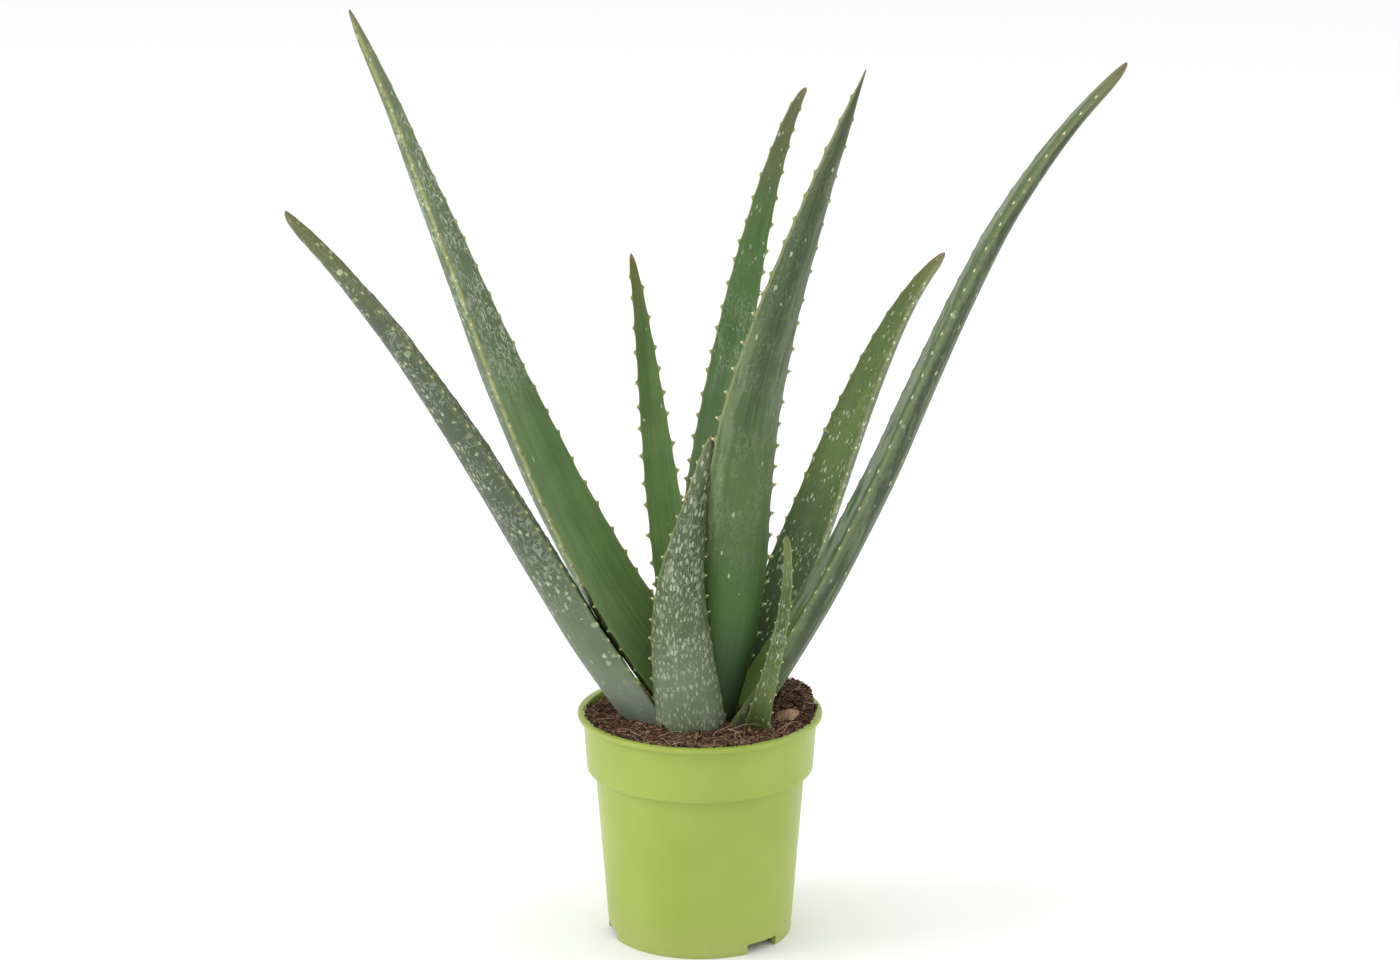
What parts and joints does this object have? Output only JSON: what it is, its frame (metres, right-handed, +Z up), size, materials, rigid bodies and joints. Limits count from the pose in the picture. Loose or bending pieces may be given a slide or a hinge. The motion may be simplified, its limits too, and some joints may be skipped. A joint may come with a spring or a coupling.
{
  "type": "potted aloe plant",
  "caption": "Aloe rosette of long fleshy leaves with toothed margins, growing in a full round plastic nursery pot with a rim bead, a stepped collar and drain notches.",
  "frame": {"origin": "middle of the pot's base, on the surface that the pot stands on", "axes": "+Z up along the pot's axis; +X to the right and +Y to the back as the plant is usually shown, with its leaves spread widest along X"},
  "size_m": [0.3887, 0.1725, 0.4463],
  "materials": {
    "pot": "lime green moulded polypropylene, satin with faint scuffs",
    "soil": "dark brown coir and peat, fibrous and matte",
    "stem": "dry fibrous plant stem",
    "bark": "light brown bark, dry and matte",
    "leaf": "grey-green waxy leaf skin with pale flecks, a thin bloom and yellowish margins"
  },
  "bodies": {
    "root": {"pot": "pot", "soil": "soil", "stem": "stem", "bark_chip": "bark", "leaf_front": "leaf", "leaf_centre": "leaf", "leaf_back_short": "leaf", "leaf_back_tall": "leaf", "leaf_left_low": "leaf", "leaf_left_tall": "leaf", "leaf_right_long": "leaf", "leaf_right_spotted": "leaf", "leaf_small_right": "leaf"}
  },
  "joints": []
}
